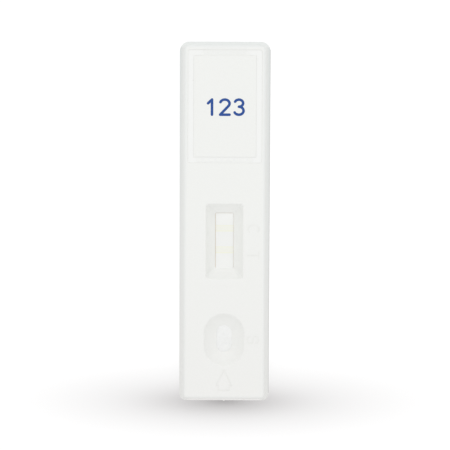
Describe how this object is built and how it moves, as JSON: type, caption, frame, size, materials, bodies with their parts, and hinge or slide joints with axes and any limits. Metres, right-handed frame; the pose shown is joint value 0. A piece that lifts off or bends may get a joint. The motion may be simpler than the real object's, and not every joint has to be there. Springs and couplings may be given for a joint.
{
  "type": "lateral flow cassette",
  "caption": "Flat white test cassette: two snapped plastic shells around a test strip, with a read window, a dished sample well and a framed label panel.",
  "frame": {"origin": "middle of the footprint, on the surface the cassette lies on", "axes": "+Z out of the printed face, +Y towards the end with the label panel, +X to the right of the face"},
  "size_m": [0.02, 0.0801, 0.005],
  "materials": {
    "shell_plastic": "white moulded polystyrene, finely spark-eroded, with a smooth moat round the label panel",
    "card_plastic": "white polystyrene card with clear adhesive",
    "membrane_paper": "smooth matt porous membrane with two pale yellow reagent bands",
    "conjugate_fibre": "glass fibre pad with dried reagent",
    "sample_fibre": "white fibre pad",
    "wick_paper": "thick white blotting paper"
  },
  "bodies": {
    "root": {"upper_shell": "shell_plastic", "lower_shell": "shell_plastic", "backing_card": "card_plastic", "membrane": "membrane_paper", "conjugate_pad": "conjugate_fibre", "sample_pad": "sample_fibre", "absorbent_pad": "wick_paper"}
  },
  "joints": []
}
